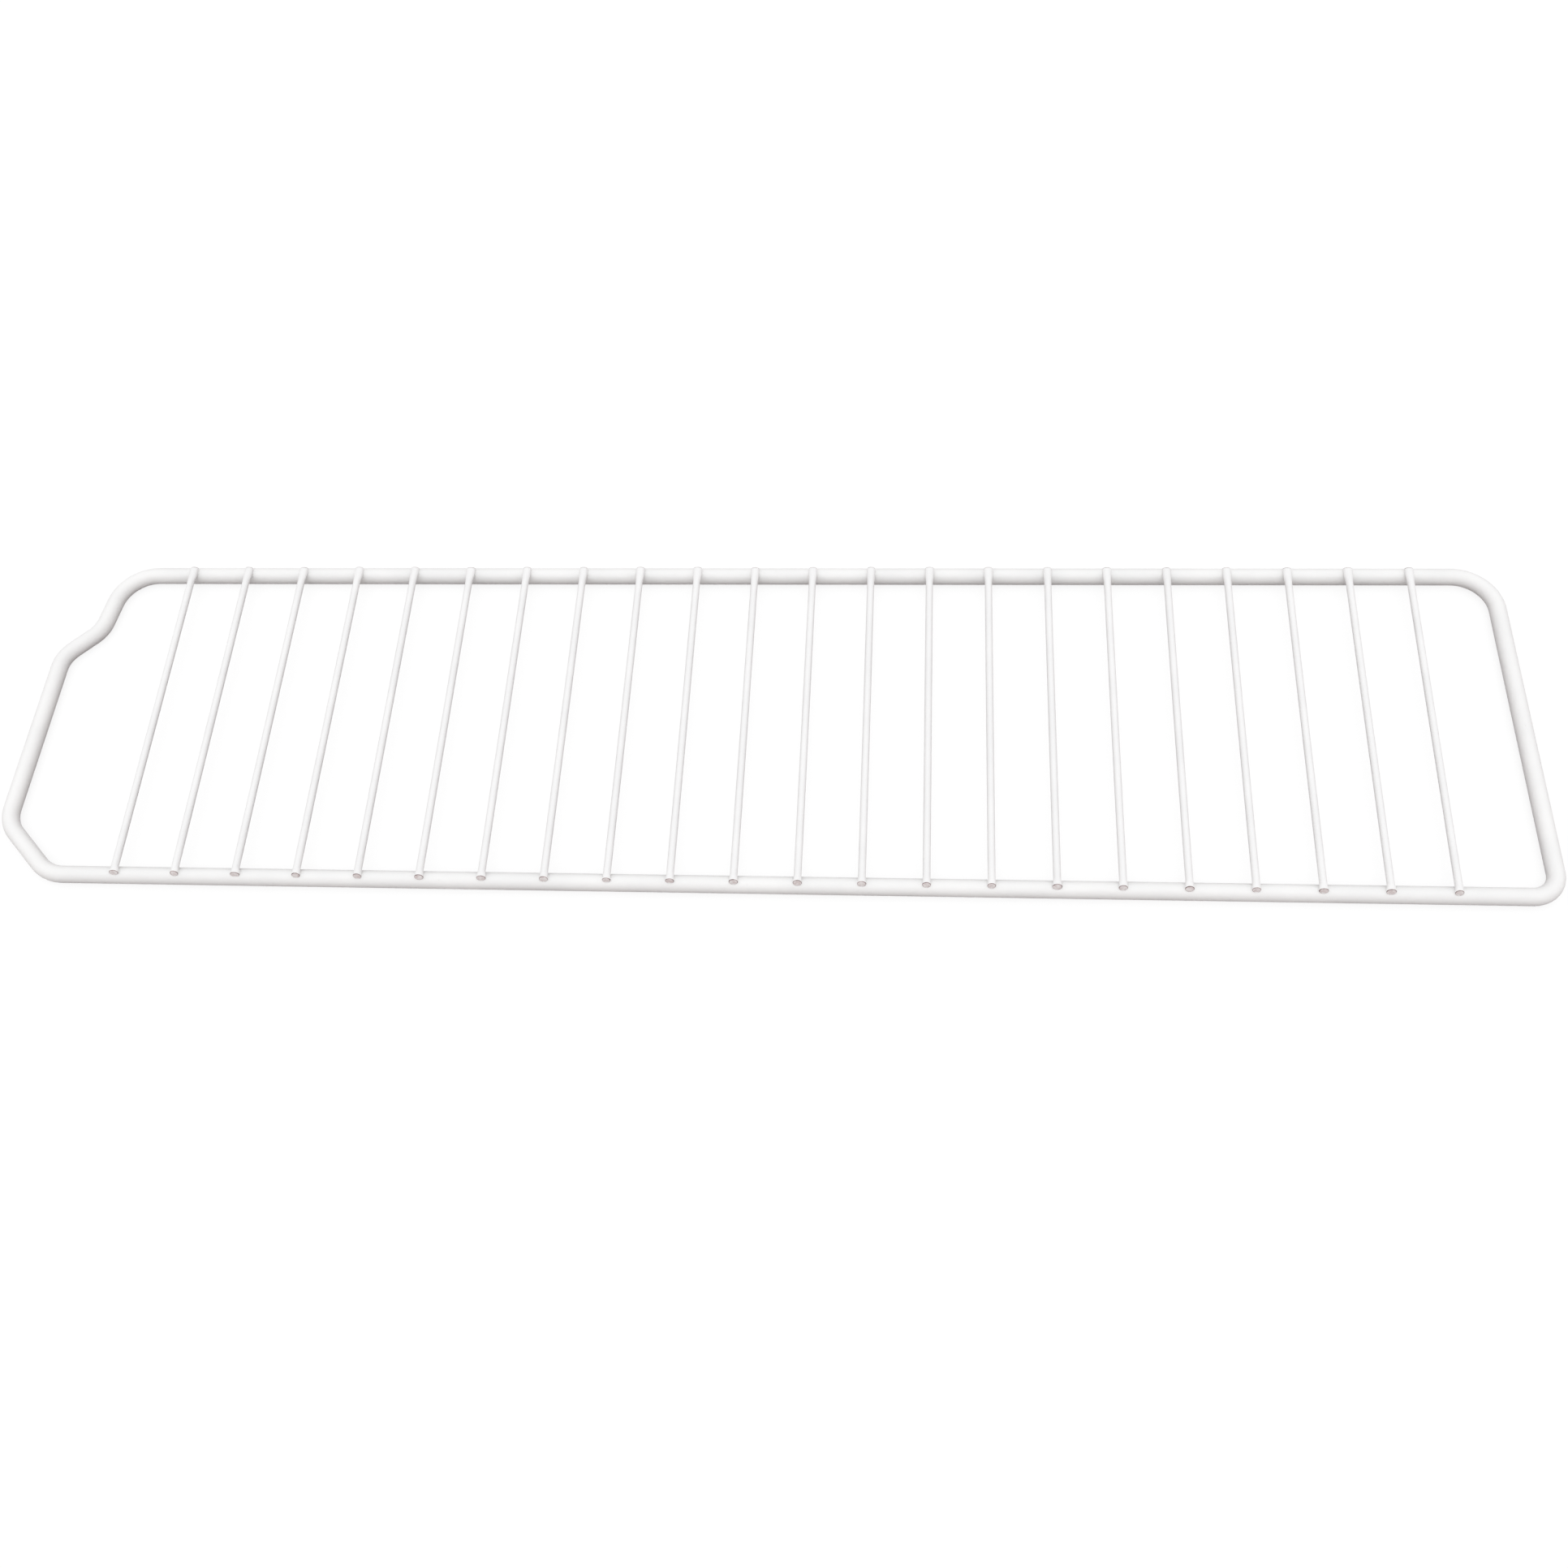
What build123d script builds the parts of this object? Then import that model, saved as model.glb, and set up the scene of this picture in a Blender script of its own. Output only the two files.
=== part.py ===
from build123d import *
import math
import os

# Freezer wire shelf: a round rod bent into a closed flat frame, with straight
# wires laid across its two long rails and resistance-welded on top of them.
# X runs along the rails, +Y goes into the freezer and +Z is up. All sizes are
# over the white coating, in millimetres and degrees.

# Stock
rod_diameter = 7.0
wire_diameter = 3.0

# Wires across the rails
wire_count = 22
wire_pitch = 25.0
left_end_gap = 51.7  # left side axis to first wire axis, at half depth
right_end_gap = 36.4  # last wire axis to right side axis, at half depth
wire_overhang = 1.1  # how far a wire's cut end reaches past the rail axis

# Welds
weld_set_down = 0.4  # how deep a wire sinks into the rail
weld_flat = 6.0  # length of the flat that the electrode presses on a wire's end
weld_squeeze = 0.6  # how far that flat lies below the wire's top at the cut

# Frame
rail_spacing = 148.6  # front rail axis to back rail axis
side_taper = 1.5  # lean of each side, so the shelf narrows towards the back
front_right_bend = 9.8  # all bend radii are those of the rod's axis
back_bend = 17.2

# Cut-off corner at the front left
corner_cut = 23.3
corner_cut_bend = 16.0

# Notch in the left side near the back
notch_start = 105.2  # front rail axis to the bend where the notch begins
notch_depth = 14.3  # how far the notch steps in
notch_run = 13.9  # how far back the slanted step runs
notch_lean = 9.0  # lean of the short side behind the step
notch_bend = 14.0

rod_radius = rod_diameter / 2
wire_radius = wire_diameter / 2
side_spacing = left_end_gap + wire_pitch * (wire_count - 1) + right_end_gap
front_y = -rail_spacing / 2
back_y = rail_spacing / 2


def left_side_x(y):
    return -side_spacing / 2 + y * math.tan(math.radians(side_taper))


def right_side_x(y):
    return side_spacing / 2 - y * math.tan(math.radians(side_taper))


def make_frame_rod():
    """One closed loop of rod, swept along the axis that the bends leave."""
    cut_y = front_y + corner_cut
    notch_y = front_y + notch_start
    step_x = left_side_x(notch_y) + notch_depth
    step_y = notch_y + notch_run
    back_left_x = step_x + (back_y - step_y) * math.tan(math.radians(notch_lean))
    corners = [
        (left_side_x(cut_y) + corner_cut, front_y),
        (right_side_x(front_y), front_y),
        (right_side_x(back_y), back_y),
        (back_left_x, back_y),
        (step_x, step_y),
        (left_side_x(notch_y), notch_y),
        (left_side_x(cut_y), cut_y),
    ]
    bends = [
        corner_cut_bend,
        front_right_bend,
        back_bend,
        back_bend,
        notch_bend,
        notch_bend,
        corner_cut_bend,
    ]
    axis = FilletPolyline(*corners, radius=bends, close=True)
    section = Plane(origin=axis @ 0, z_dir=axis % 0) * Circle(rod_radius)
    return Pos(0, 0, rod_radius) * sweep(section, path=axis)


def make_blank_wire():
    """A sheared wire with a sloping flat pressed on each end, its underside at Z zero."""
    cut_y = back_y + wire_overhang
    wire = Pos(0, 0, wire_radius) * Cylinder(wire_radius, 2 * cut_y, rotation=(90, 0, 0))
    wedge = Polygon(
        (cut_y - weld_flat, wire_diameter),
        (cut_y, wire_diameter - weld_squeeze),
        (cut_y, wire_diameter),
        align=None,
    )
    pressed_away = extrude(Plane.YZ * wedge, wire_radius, both=True)
    return wire - pressed_away - mirror(pressed_away, about=Plane.XZ)


frame_rod = make_frame_rod()
blank_wire = make_blank_wire()
nodes = {"frame_rod": frame_rod}
first_wire_x = left_side_x(0) + left_end_gap
for index in range(wire_count):
    seat = Pos(first_wire_x + index * wire_pitch, 0, rod_diameter - weld_set_down)
    nodes[f"cross_wire_{index + 1:02d}"] = seat * blank_wire - frame_rod

# The origin is under the middle of the frame, on the plane it rests on.
middle = frame_rod.bounding_box().center()
to_origin = Pos(-middle.X, -middle.Y, 0)

os.makedirs("parts", exist_ok=True)
for name, shape in nodes.items():
    export_step(to_origin * shape, f"parts/{name}.step")
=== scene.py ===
# %% [markdown]
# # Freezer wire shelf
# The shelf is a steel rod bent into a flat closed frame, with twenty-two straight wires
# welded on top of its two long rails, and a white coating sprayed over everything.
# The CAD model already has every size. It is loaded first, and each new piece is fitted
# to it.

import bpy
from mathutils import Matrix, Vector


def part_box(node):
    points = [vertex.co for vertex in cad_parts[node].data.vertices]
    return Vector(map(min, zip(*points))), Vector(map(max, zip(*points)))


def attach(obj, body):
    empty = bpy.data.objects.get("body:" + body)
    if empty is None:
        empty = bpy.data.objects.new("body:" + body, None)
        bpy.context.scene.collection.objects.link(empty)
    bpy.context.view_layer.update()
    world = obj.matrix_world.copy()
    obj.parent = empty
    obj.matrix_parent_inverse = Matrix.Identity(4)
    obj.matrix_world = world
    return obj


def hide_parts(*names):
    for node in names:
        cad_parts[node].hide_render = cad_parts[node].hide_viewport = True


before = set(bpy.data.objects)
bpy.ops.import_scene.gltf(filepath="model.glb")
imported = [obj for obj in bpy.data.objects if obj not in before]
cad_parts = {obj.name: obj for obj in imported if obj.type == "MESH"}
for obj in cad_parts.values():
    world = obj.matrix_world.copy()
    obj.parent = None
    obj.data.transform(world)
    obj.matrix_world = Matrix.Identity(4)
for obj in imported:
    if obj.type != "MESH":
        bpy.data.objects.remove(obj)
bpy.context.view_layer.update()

# %% Read the stock sizes from the CAD model
import bpy
import bmesh
import math
import random
from collections import namedtuple
from mathutils import Matrix, Vector

mm = 0.001
wire_names = sorted(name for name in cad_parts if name.startswith("cross_wire"))
rod_low, rod_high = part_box("frame_rod")
rod_radius = (rod_high.z - rod_low.z) / 2
rail_y = rod_high.y - rod_radius
wire_low, wire_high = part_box(wire_names[0])
wire_radius = (wire_high.x - wire_low.x) / 2
wire_bottom = wire_low.z
cut_y = wire_high.y
print(len(wire_names), "wires, radius", wire_radius, "rod radius", rod_radius, "cut at", cut_y)

# %% [markdown]
# ## What the coating does to a surface
# A sprayed and baked coating is never quite even. It flows into soft ripples a millimetre
# or two across, it is thicker in some patches than in others, and now and then a speck of
# dust is trapped under it. These effects are the same on the rod and on the wires, so they
# go into one node group that each material places with its own values. A painted image
# would do for one view only, while noise on Object coordinates holds from every side.

# %% Coating group: its sockets
coat = bpy.data.node_groups.new("Sprayed coating", "ShaderNodeTree")
for socket, kind in (
    ("Colour", "NodeSocketColor"),
    ("Thick Colour", "NodeSocketColor"),
    ("Patch Scale", "NodeSocketFloat"),
    ("Ripple Scale", "NodeSocketFloat"),
    ("Speck Scale", "NodeSocketFloat"),
    ("Smoothest", "NodeSocketFloat"),
    ("Roughest", "NodeSocketFloat"),
):
    coat.interface.new_socket(socket, in_out="INPUT", socket_type=kind)
coat.interface.new_socket("Colour", in_out="OUTPUT", socket_type="NodeSocketColor")
coat.interface.new_socket("Roughness", in_out="OUTPUT", socket_type="NodeSocketFloat")
coat.interface.new_socket("Height", in_out="OUTPUT", socket_type="NodeSocketFloat")
print(len(coat.interface.items_tree), "sockets on the coating group")

# %% Coating group: patches, ripples and specks
node, link = coat.nodes.new, coat.links.new
given = node("NodeGroupInput")
result = node("NodeGroupOutput")
place = node("ShaderNodeTexCoord")


def noise(scale_socket, detail):
    texture = node("ShaderNodeTexNoise")
    texture.inputs["Detail"].default_value = detail
    link(place.outputs["Object"], texture.inputs["Vector"])
    link(given.outputs[scale_socket], texture.inputs["Scale"])
    return texture.outputs["Fac"]


patches = noise("Patch Scale", 3.0)
ripples = noise("Ripple Scale", 1.0)
specks = node("ShaderNodeTexVoronoi")
link(place.outputs["Object"], specks.inputs["Vector"])
link(given.outputs["Speck Scale"], specks.inputs["Scale"])
print("patches, ripples and specks read Object coordinates")


# %% Coating group: from textures to colour, roughness and height
def remap(value, low, high, start, end):
    step = node("ShaderNodeMapRange")
    link(value, step.inputs["Value"])
    ends = {"From Min": low, "From Max": high, "To Min": start, "To Max": end}
    for name, amount in ends.items():
        if isinstance(amount, bpy.types.NodeSocket):
            link(amount, step.inputs[name])
        else:
            step.inputs[name].default_value = amount
    return step.outputs["Result"]


thin_patch = 0.35
thick_patch = 0.65
thickness = remap(patches, thin_patch, thick_patch, 0.0, 1.0)
blend = node("ShaderNodeMix")
blend.data_type = "RGBA"
link(thickness, blend.inputs["Factor"])
link(given.outputs["Colour"], blend.inputs["A"])
link(given.outputs["Thick Colour"], blend.inputs["B"])
link(blend.outputs["Result"], result.inputs["Colour"])
rough_patch = 0.3
smooth_patch = 0.7
roughness = remap(
    patches, rough_patch, smooth_patch, given.outputs["Roughest"], given.outputs["Smoothest"]
)
link(roughness, result.inputs["Roughness"])
speck_reach = 0.04  # share of the space between two specks
speck_height = 1.5  # in ripples
nib = remap(specks.outputs["Distance"], 0.0, speck_reach, speck_height, 0.0)
height = node("ShaderNodeMath")
link(ripples, height.inputs[0])
link(nib, height.inputs[1])
link(height.outputs["Value"], result.inputs["Height"])
print("coating group has", len(coat.nodes), "nodes")

# %% [markdown]
# ## Four coats from one group
# The rod and the wires are sprayed together, so they have the same white. The coating lies
# thicker on the heavy rod, where it flows longer and ripples wider, and thinner on the
# light wires. On the sheared ends of the wires it is thin and a little pink, and it pulls
# back from the burr round each end, where the steel shows through. The end faces are also
# painted darker and pinker than that, and the burr rings much darker, as painted shade
# round the cut ends. Four materials with their own values say that better than one
# material for all. The plain numbers sit on the shader's own sockets.

# %% A coat for one kind of stock
ripple_strength = 0.8
coat_ior = 1.42


def coating(name, values, ripple_depth):
    material = bpy.data.materials.new(name)
    material.use_nodes = True
    tree = material.node_tree
    shader = tree.nodes["Principled BSDF"]
    surface = tree.nodes.new("ShaderNodeGroup")
    surface.node_tree = coat
    for socket, value in values.items():
        surface.inputs[socket].default_value = value
    bump = tree.nodes.new("ShaderNodeBump")
    bump.inputs["Strength"].default_value = ripple_strength
    bump.inputs["Distance"].default_value = ripple_depth
    tree.links.new(surface.outputs["Height"], bump.inputs["Height"])
    tree.links.new(surface.outputs["Colour"], shader.inputs["Base Color"])
    tree.links.new(surface.outputs["Roughness"], shader.inputs["Roughness"])
    tree.links.new(bump.outputs["Normal"], shader.inputs["Normal"])
    shader.inputs["IOR"].default_value = coat_ior
    return material


# %% The coats of the rod and the wires
rod_coat = coating(
    "rod_white_coat",
    {
        "Colour": (0.9, 0.9, 0.895, 1),
        "Thick Colour": (0.94, 0.938, 0.93, 1),
        "Patch Scale": 45,
        "Ripple Scale": 420,
        "Speck Scale": 130,
        "Smoothest": 0.42,
        "Roughest": 0.56,
    },
    0.1 * mm,
)
wire_coat = coating(
    "wire_white_coat",
    {
        "Colour": (0.9, 0.901, 0.9, 1),
        "Thick Colour": (0.935, 0.935, 0.932, 1),
        "Patch Scale": 60,
        "Ripple Scale": 650,
        "Speck Scale": 150,
        "Smoothest": 0.42,
        "Roughest": 0.58,
    },
    0.06 * mm,
)
print("made", rod_coat.name, "and", wire_coat.name)

# %% The coats of the cut ends, with painted shade
cut_ripple = 0.03 * mm
cut_grain = {
    "Patch Scale": 700,
    "Ripple Scale": 1500,
    "Speck Scale": 300,
    "Smoothest": 0.5,
    "Roughest": 0.7,
}
# The end face is a little pink from the thin coat over steel, and is also painted darker as the shade
# of a face turned from the light.
cut_face_tint_and_shade_colours = {"Colour": (0.78, 0.69, 0.68, 1), "Thick Colour": (0.95, 0.92, 0.91, 1)}
# The burr shows steel where the coat pulls back, and is also painted dark as the shade round the end.
burr_steel_and_shade_colours = {"Colour": (0.2, 0.15, 0.145, 1), "Thick Colour": (0.55, 0.46, 0.45, 1)}
cut_face_tint_and_shade_coat = coating("cut_face_thin_coat_and_painted_shade", cut_face_tint_and_shade_colours | cut_grain, cut_ripple)
burr_steel_and_shade_coat = coating("burr_steel_and_painted_shade", burr_steel_and_shade_colours | cut_grain, cut_ripple)
print("made", cut_face_tint_and_shade_coat.name, "and", burr_steel_and_shade_coat.name)

# %% [markdown]
# ## The frame rod
# On the real shelf the frame is one rod with seven bends. The CAD node has the right form,
# but its bends are made of few flat faces. A curve with a round bevel would be smooth, and
# its corners would be guesswork. So the rod is made as the bending machine makes it: a
# ring of edges is fed forward with extrude for each straight run, and is spun about the
# centre of each bend.

# %% The corners of the rod's axis
side_spacing = 613.1 * mm  # left side to right side, at half depth
side_lean = math.tan(math.radians(1.5))
corner_cut = 23.3 * mm
notch_start = 105.2 * mm
notch_depth = 14.3 * mm
notch_run = 13.9 * mm
notch_lean = math.tan(math.radians(9.0))


def left_side(y):
    return Vector((y * side_lean - side_spacing / 2, y))


def right_side(y):
    return Vector((side_spacing / 2 - y * side_lean, y))


side_end = left_side(corner_cut - rail_y)
notch_front = left_side(notch_start - rail_y)
notch_back = notch_front + Vector((notch_depth, notch_run))
print("notch from", [round(v, 4) for v in notch_front], "to", [round(v, 4) for v in notch_back])

# %% The bends, in the order in which the rod is fed
front_right_bend = 9.8 * mm
back_bend = 17.2 * mm
notch_bend = 14.0 * mm
corner_cut_bend = 16.0 * mm
corners = [
    (right_side(-rail_y), front_right_bend),
    (right_side(rail_y), back_bend),
    (Vector((notch_back.x + (rail_y - notch_back.y) * notch_lean, rail_y)), back_bend),
    (notch_back, notch_bend),
    (notch_front, notch_bend),
    (side_end, corner_cut_bend),
    (Vector((side_end.x + corner_cut, -rail_y)), corner_cut_bend),
]
feed_start = Vector((0, -rail_y))
print(len(corners), "bends")

# %% Feed and bend
bend_step = math.radians(4)
print("bends of", back_bend, "m get faces", round(back_bend * bend_step / mm, 2), "mm long")


def feed(bm, ring, run):
    made = bmesh.ops.extrude_edge_only(bm, edges=ring)["geom"]
    verts = [part for part in made if isinstance(part, bmesh.types.BMVert)]
    edges = [part for part in made if isinstance(part, bmesh.types.BMEdge)]
    bmesh.ops.translate(bm, verts=verts, vec=run.to_3d())
    moved = set(verts)
    return [edge for edge in edges if moved.issuperset(edge.verts)]


def bend(bm, ring, centre, turn):
    verts = list({vert for edge in ring for vert in edge.verts})
    steps = math.ceil(abs(turn) / bend_step)
    last = bmesh.ops.spin(
        bm, geom=verts + ring, cent=centre.to_3d(), axis=(0, 0, 1), angle=turn, steps=steps
    )["geom_last"]
    return [part for part in last if isinstance(part, bmesh.types.BMEdge)]


# %% Bend the rod
rod_sides = 40
bm = bmesh.new()
ring = bmesh.ops.create_circle(bm, radius=rod_radius, segments=rod_sides)["verts"]
upright = Matrix.Rotation(math.radians(90), 3, "Y")
bmesh.ops.rotate(bm, verts=ring, cent=(0, 0, 0), matrix=upright)
bmesh.ops.translate(bm, verts=ring, vec=(feed_start.x, feed_start.y, rod_radius))
edges = list(bm.edges)
here = feed_start
for number, (corner, radius) in enumerate(corners):
    after = corners[(number + 1) % len(corners)][0]
    heading = (corner - here).normalized()
    turn = -heading.angle_signed(after - corner)
    bend_start = corner - heading * radius * math.tan(abs(turn) / 2)
    edges = feed(bm, edges, bend_start - here)
    centre = bend_start + heading.orthogonal() * math.copysign(radius, turn)
    edges = bend(bm, edges, centre, turn)
    here = centre + Matrix.Rotation(turn, 2) @ (bend_start - centre)
    print("bend", number + 1, round(math.degrees(turn), 1), "degrees")
feed(bm, edges, feed_start - here)


# %% Close the rod and lay it where the CAD rod lies
merge_distance = 0.001 * mm


def finish_mesh(bm, name, *coats):
    """Merge, turn the faces outwards and make the piece that carries the mesh."""
    bmesh.ops.remove_doubles(bm, verts=bm.verts, dist=merge_distance)
    bmesh.ops.recalc_face_normals(bm, faces=bm.faces)
    for face in bm.faces:
        face.smooth = True
    mesh = bpy.data.meshes.new(name)
    bm.to_mesh(mesh)
    bm.free()
    for one_coat in coats:
        mesh.materials.append(one_coat)
    piece = bpy.data.objects.new(name, mesh)
    bpy.context.scene.collection.objects.link(piece)
    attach(piece, "root")
    return piece


reach = [vert.co.x for vert in bm.verts]
shift = (rod_low.x + rod_high.x - min(reach) - max(reach)) / 2
bmesh.ops.translate(bm, verts=bm.verts, vec=(shift, 0, 0))
rod = finish_mesh(bm, "bent_frame_rod", rod_coat)
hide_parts("frame_rod")
print("rod", [round(side / mm, 2) for side in rod.dimensions], "mm,", len(rod.data.polygons), "faces")

# %% [markdown]
# ## Wires with squeezed ends
# Each wire is cut to length and pressed onto the rails while the weld is hot. The press
# leaves its last few millimetres wider and flatter, and the shears leave an end that leans
# back. The CAD wires stay plain to keep their faces few. Here a ring of edges is carried
# along the wire with extrude, and is scaled and sheared a little at each station, which
# gives the swelling without any list of vertices. The rings are sheared about their
# middles, so that half of a leaning end lies on each side of the CAD wire's square cut. A
# curve with a changing radius could not be made wider and flatter at once.

# %% One ring to the next
Station = namedtuple("Station", "along half_width half_height lean")


def carry_ring(bm, ring, start, end):
    edges = feed(bm, ring, Vector((0, end.along - start.along)))
    verts = list({vert for edge in edges for vert in edge.verts})
    foot = Matrix.Translation((0, -end.along, -wire_bottom))
    stretch = (end.half_width / start.half_width, 1, end.half_height / start.half_height)
    bmesh.ops.scale(bm, vec=stretch, space=foot, verts=verts)
    heart = Matrix.Translation((0, -end.along, -wire_bottom - end.half_height))
    shear = Matrix.Identity(4)
    shear[1][2] = start.lean - end.lean
    bmesh.ops.transform(bm, matrix=shear, space=heart, verts=verts)
    return edges


# %% How far the ends are squeezed
Squeeze = namedtuple("Squeeze", "swell settle spread press lean")
front_squeeze = Squeeze(2.6 * mm, 0.7 * mm, (0.08, 0.3), (0.1, 0.17), (0.24, 0.42))
back_squeeze = Squeeze(5.5 * mm, 2.8 * mm, (0.14, 0.28), (0.12, 0.2), (0.0, 0.2))
print("front", front_squeeze, "back", back_squeeze)

# %% The stations of one wire end
squeeze_steps = 8


def end_stations(cut, squeeze, rng):
    """Stations from the round wire, over the swelling, to the end of full squeeze at the cut."""
    way = math.copysign(1, cut)
    spread = rng.uniform(*squeeze.spread)
    press = rng.uniform(*squeeze.press)
    lean = rng.uniform(*squeeze.lean)
    stations = []
    for step in range(squeeze_steps + 1):
        part = step / squeeze_steps
        share = part * part * (3 - 2 * part)
        stations.append(
            Station(
                cut - way * (squeeze.settle + squeeze.swell * (1 - part)),
                wire_radius * (1 + spread * share),
                wire_radius * (1 - press * share),
                way * lean * share,
            )
        )
    return stations + [stations[-1]._replace(along=cut)]


# %% [markdown]
# ## Sheared ends
# Shears leave a flat face with a sharp burr round it, and the coating rounds the burr. The
# end could be cut off with bisect_plane, but the last ring already leans as the cut does.
# So it is only filled with one face, and the edge of that face is bevelled. The face and
# the bevel take the thin coats, whose colours also hold painted shade round the end.

# %% One cut end
front_burr = 0.2 * mm
back_burr = 0.3 * mm
print("burrs of", front_burr / mm, "mm in front and", back_burr / mm, "mm at the back")


def cut_end(bm, ring, way):
    bmesh.ops.edgeloop_fill(bm, edges=ring)
    width = front_burr if way < 0 else back_burr
    burr = bmesh.ops.bevel(
        bm, geom=ring, offset=width, affect="EDGES", segments=3, profile=0.5, material=-1
    )["faces"]
    caps = [face for face in bm.faces if len(face.verts) > 4]
    cut_face = max(caps, key=lambda cap: way * cap.calc_center_median().y)
    # The cut face takes the coat that is painted darker as shade.
    cut_face.material_index = 1
    # The burr ring takes the coat that is painted dark as shade round the end.
    for face in burr:
        face.material_index = 2


# %% One wire
wire_sides = 32


def squeezed_wire(bm, rng):
    middle = Station(0, wire_radius, wire_radius, 0)
    ring = bmesh.ops.create_circle(bm, radius=wire_radius, segments=wire_sides)["verts"]
    upright = Matrix.Rotation(math.radians(90), 3, "X")
    bmesh.ops.rotate(bm, verts=ring, cent=(0, 0, 0), matrix=upright)
    bmesh.ops.translate(bm, verts=ring, vec=(0, 0, wire_bottom + wire_radius))
    middle_edges = list(bm.edges)
    front = end_stations(-cut_y, front_squeeze, rng)
    back = end_stations(cut_y, back_squeeze, rng)
    for stations in (front, back):
        edges = middle_edges
        last = middle
        for station in stations:
            edges = carry_ring(bm, edges, last, station)
            last = station
        cut_end(bm, edges, math.copysign(1, last.along))


# %% [markdown]
# ## Weld mounds
# Where a wire sinks into a rail, the weld squeezes a little steel out round it, and the
# coating fills the corner. A boolean of rod and wire would leave that corner sharp. A ball
# is flattened to a low mound instead and is laid over the round top of the rail, so that
# it shows as a soft fillet on all sides of the wire.

# %% One mound
mound_half_width = 1.7 * mm
mound_half_length = 1.7 * mm
mound_height = 0.36 * mm
mound_swell = (0.92, 1.1)
mound_sides = 28
print("mounds reach", round((mound_half_length + rail_y - cut_y) / mm, 2), "mm past the cut")


def weld_mound(bm, way, rng):
    ball = bmesh.ops.create_uvsphere(
        bm, u_segments=mound_sides, v_segments=mound_sides // 2, radius=1
    )["verts"]
    swell = rng.uniform(*mound_swell)
    size = (mound_half_width * swell, mound_half_length, mound_height * swell)
    bmesh.ops.scale(bm, verts=ball, vec=size)
    for vert in ball:
        vert.co.z += math.sqrt(rod_radius**2 - vert.co.y**2)
    bmesh.ops.translate(bm, verts=ball, vec=(0, way * rail_y, rod_radius))


# %% [markdown]
# ## Laying the wires
# The wires come off one machine, so they are all one shape, but no two cut ends are alike.
# Copies of one mesh would be quicker, and every end would then be the same. So each wire
# is made anew with its own seeded amounts of squeeze and weld, and takes the place of its
# CAD node.

# %% Make and lay the wires
wires = []
for index, name in enumerate(wire_names):
    low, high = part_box(name)
    bm = bmesh.new()
    rng = random.Random(index)
    squeezed_wire(bm, rng)
    weld_mound(bm, -1, rng)
    weld_mound(bm, 1, rng)
    bmesh.ops.translate(bm, verts=bm.verts, vec=((low.x + high.x) / 2, 0, 0))
    wire = finish_mesh(bm, f"welded_wire_{index + 1:02d}", wire_coat, cut_face_tint_and_shade_coat, burr_steel_and_shade_coat)
    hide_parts(name)
    wires.append(wire)
print(len(wires), "wires of", len(wires[0].data.polygons), "faces")

# %% [markdown]
# ## Floor
# The shelf lies on a plain white floor. A floor that really bounced all its light back
# would light the rods from below and wash their round shape out. So the floor has two
# sides to it: the camera and reflections see white paper that keeps the soft shadow of
# the rods, while light that bounces finds a darker, warm grey.

# %% Lay the floor
floor_half_width = 15
bm = bmesh.new()
bmesh.ops.create_grid(bm, x_segments=1, y_segments=1, size=floor_half_width)
floor_mesh = bpy.data.meshes.new("studio_floor")
bm.to_mesh(floor_mesh)
bm.free()
floor = bpy.data.objects.new("studio_floor", floor_mesh)
bpy.context.scene.collection.objects.link(floor)
print("floor", [round(side) for side in floor.dimensions], "m")


# %% What a viewer sees
def seen_mask(tree):
    """One where the camera, a reflection or a see-through surface looks on."""
    path = tree.nodes.new("ShaderNodeLightPath")
    mask = path.outputs["Is Camera Ray"]
    for ray in ("Is Glossy Ray", "Is Transmission Ray"):
        either = tree.nodes.new("ShaderNodeMath")
        either.operation = "MAXIMUM"
        tree.links.new(mask, either.inputs[0])
        tree.links.new(path.outputs[ray], either.inputs[1])
        mask = either.outputs["Value"]
    return mask


# %% Paper for the floor
paper_grey = (0.2, 0.2, 0.2, 1)
paper_glow = 0.83
bounce_colour = (0.06, 0.03, 0.027, 1)
paper = bpy.data.materials.new("floor_paper")
paper.use_nodes = True
tree = paper.node_tree
shown = tree.nodes["Principled BSDF"]
shown.inputs["Base Color"].default_value = paper_grey
shown.inputs["Roughness"].default_value = 1
shown.inputs["Specular IOR Level"].default_value = 0
shown.inputs["Emission Color"].default_value = (1, 1, 1, 1)
shown.inputs["Emission Strength"].default_value = paper_glow
bounce = tree.nodes.new("ShaderNodeBsdfDiffuse")
bounce.inputs["Color"].default_value = bounce_colour
choose = tree.nodes.new("ShaderNodeMixShader")
tree.links.new(seen_mask(tree), choose.inputs["Fac"])
tree.links.new(bounce.outputs["BSDF"], choose.inputs[1])
tree.links.new(shown.outputs["BSDF"], choose.inputs[2])
tree.links.new(choose.outputs["Shader"], tree.nodes["Material Output"].inputs["Surface"])
floor.data.materials.append(paper)
print("floor paper has", len(tree.nodes), "nodes")

# %% [markdown]
# ## Light
# White parts are shot inside an even light tent, whose sides are a little warmer than its
# top. The world stands for the tent, and its colour follows the height of the direction. A
# softbox above the front keeps the tops and fronts of the rods bright, and their lower
# edges fall into shade. A sun lamp with a very wide disc stands for it: it lights the
# floor evenly as far as the eye can see, which a lamp close by would not.

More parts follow.
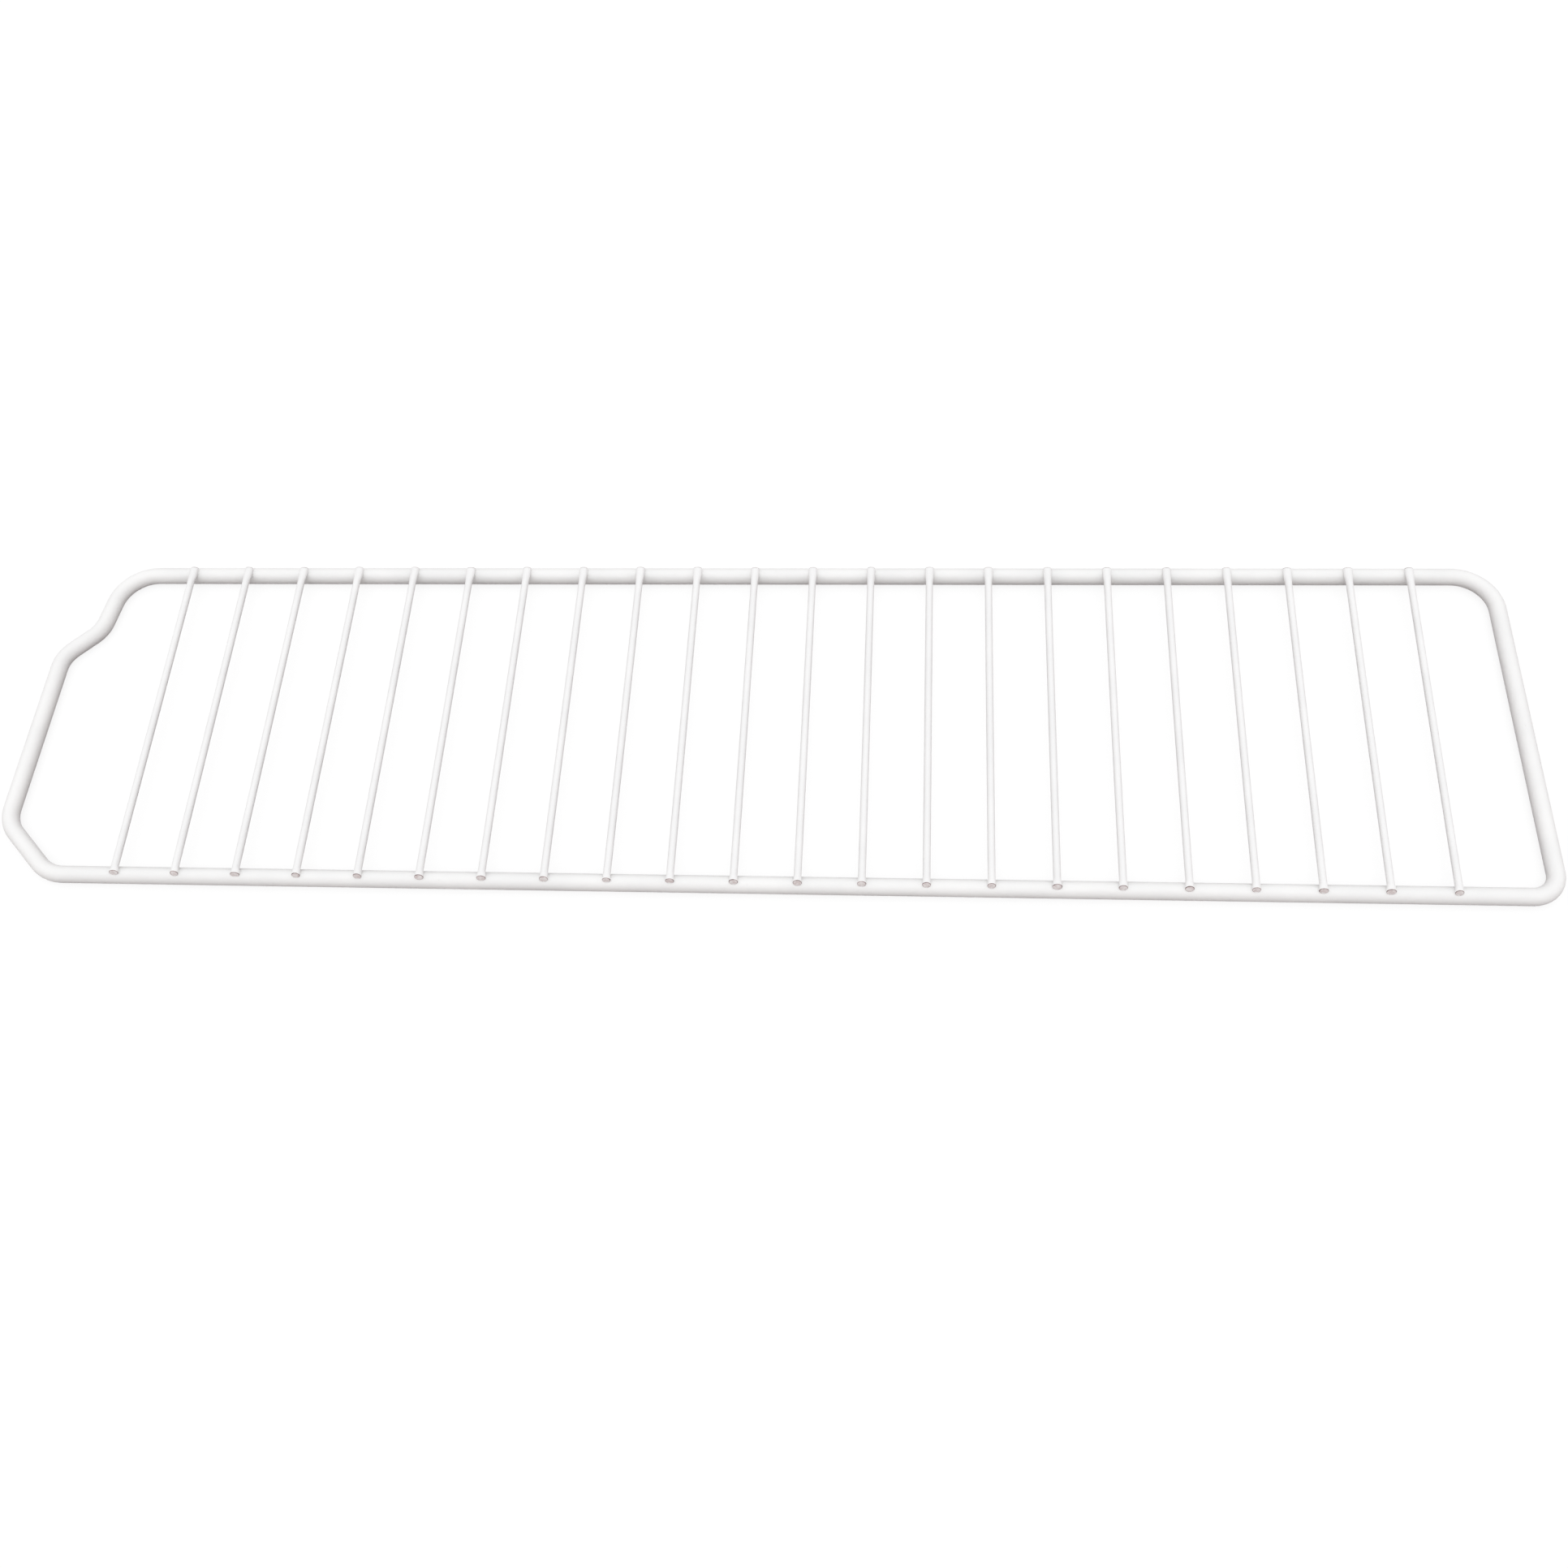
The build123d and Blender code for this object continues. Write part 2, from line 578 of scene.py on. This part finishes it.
# %% The tent
tent_strength = 0.92
side_tint = (1, 0.93, 0.915, 1)
top_tint = (0.97, 1, 1.015, 1)
world = bpy.data.worlds.new("light_tent")
bpy.context.scene.world = world
world.use_nodes = True
tree = world.node_tree
tent = tree.nodes["Background"]
tent.inputs["Strength"].default_value = tent_strength
direction = tree.nodes.new("ShaderNodeTexCoord")
split = tree.nodes.new("ShaderNodeSeparateXYZ")
tree.links.new(direction.outputs["Generated"], split.inputs["Vector"])
tint = tree.nodes.new("ShaderNodeMix")
tint.data_type = "RGBA"
tint.inputs["A"].default_value = side_tint
tint.inputs["B"].default_value = top_tint
tree.links.new(split.outputs["Z"], tint.inputs["Factor"])
tree.links.new(tint.outputs["Result"], tent.inputs["Color"])
print("tent goes from", side_tint[:3], "at its sides to", top_tint[:3], "at its top")

# %% The white backdrop
backdrop = tree.nodes.new("ShaderNodeBackground")
backdrop.inputs["Color"].default_value = (1, 1, 1, 1)
backdrop.inputs["Strength"].default_value = 1
choose = tree.nodes.new("ShaderNodeMixShader")
tree.links.new(seen_mask(tree), choose.inputs["Fac"])
tree.links.new(tent.outputs["Background"], choose.inputs[1])
tree.links.new(backdrop.outputs["Background"], choose.inputs[2])
tree.links.new(choose.outputs["Shader"], tree.nodes["World Output"].inputs["Surface"])
print("tent has", len(tree.nodes), "nodes")

# %% The softbox
softbox_lamp = bpy.data.lights.new("softbox", "SUN")
softbox_lamp.energy = 0.42
softbox_lamp.angle = math.radians(50)
softbox = bpy.data.objects.new("softbox", softbox_lamp)
softbox.rotation_euler = (math.radians(20), 0, 0)
bpy.context.scene.collection.objects.link(softbox)
print("softbox points", [round(v, 2) for v in softbox.rotation_euler.to_matrix() @ Vector((0, 0, -1))])

# %% [markdown]
# ## Camera
# The photograph looks down on the shelf from the front, close enough that the far rail is
# clearly shorter than the near one. The lens and the place were worked out from the ends
# of the wires. The camera aims at a point on the floor and is turned a little about its
# own axis, because the picture is not quite level.

# %% Set up the camera
camera_data = bpy.data.cameras.new("photo_camera")
camera_data.lens = 39.494
camera_data.sensor_width = 36
camera = bpy.data.objects.new("photo_camera", camera_data)
camera.location = (0.06865, -0.36833, 0.60698)
aim = Vector((0.01183, -0.02687, 0))
level = (aim - camera.location).to_track_quat("-Z", "Y").to_matrix()
camera_roll = math.radians(-7.616)
camera.rotation_euler = (level @ Matrix.Rotation(camera_roll, 3, "Z")).to_euler()
bpy.context.scene.collection.objects.link(camera)
bpy.context.scene.camera = camera
bpy.context.scene.view_settings.view_transform = "Standard"
print("camera right", [round(v, 4) for v in camera.rotation_euler.to_matrix().col[0]])

# %% [markdown]
# ## Finish

# %% Update the scene
bpy.context.view_layer.update()
